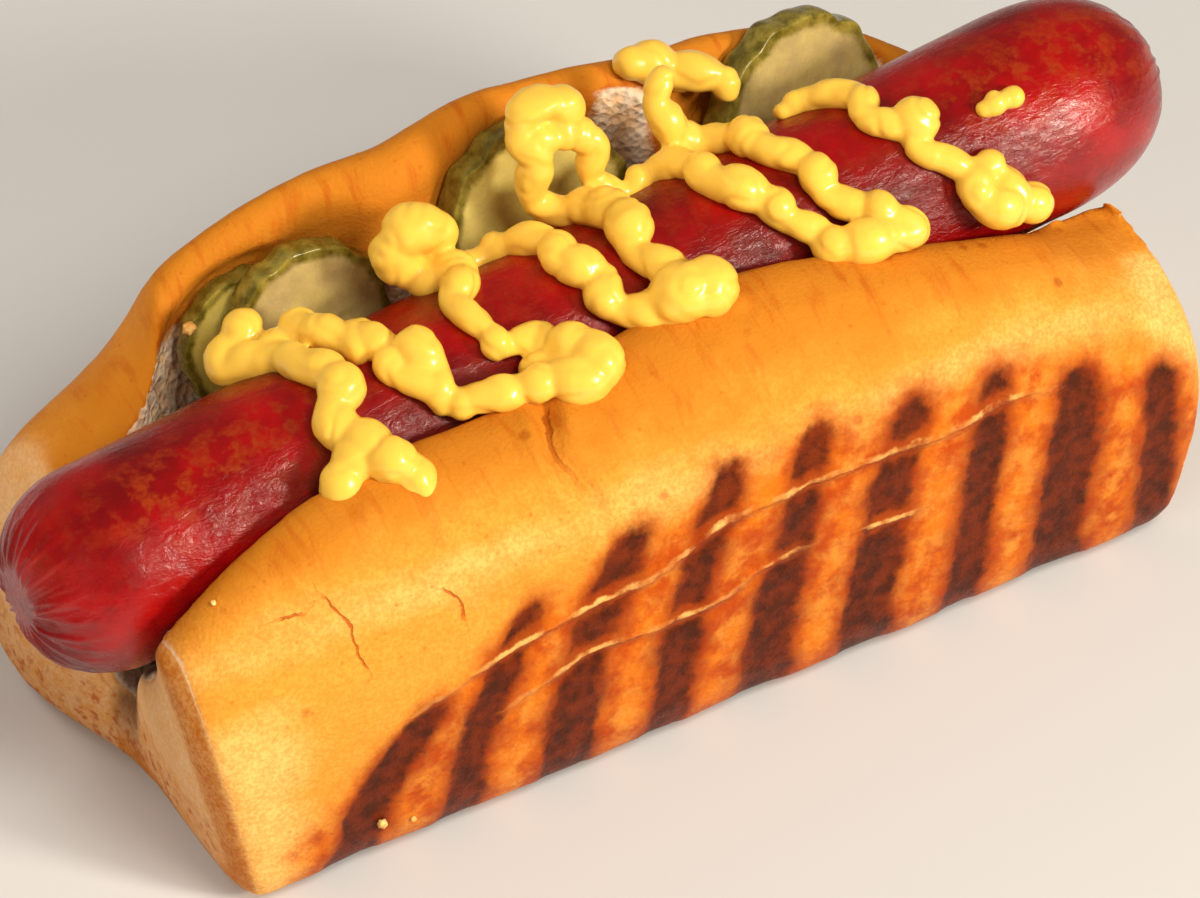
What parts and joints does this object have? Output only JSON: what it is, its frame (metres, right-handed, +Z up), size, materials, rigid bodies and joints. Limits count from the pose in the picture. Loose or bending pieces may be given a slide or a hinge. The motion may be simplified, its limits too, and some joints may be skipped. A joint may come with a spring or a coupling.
{
  "type": "hot dog",
  "caption": "Grilled hot dog: a long sausage in a top-split toasted bun with slices of pickled cucumber and a zigzag of mustard.",
  "frame": {"origin": "middle of the bun's flat base", "axes": "+X along the sausage towards its raised end, +Y towards the half of the bun with the slices, +Z up"},
  "size_m": [0.1665, 0.0643, 0.0733],
  "materials": {
    "bun": "soft golden crust, toasted brown with darker grill bars on one side, pale crumb at the tears",
    "sausage": "taut oily casing, deep red with browned, finely wrinkled patches",
    "pickle": "wet green-grey flesh with a dark olive rind",
    "mustard": "smooth glossy yellow"
  },
  "bodies": {
    "root": {"bun": "bun", "sausage": "sausage", "pickle_1": "pickle", "pickle_2": "pickle", "pickle_3": "pickle", "pickle_4": "pickle", "mustard_1": "mustard", "mustard_2": "mustard", "mustard_3": "mustard", "mustard_4": "mustard", "mustard_5": "mustard"}
  },
  "joints": []
}
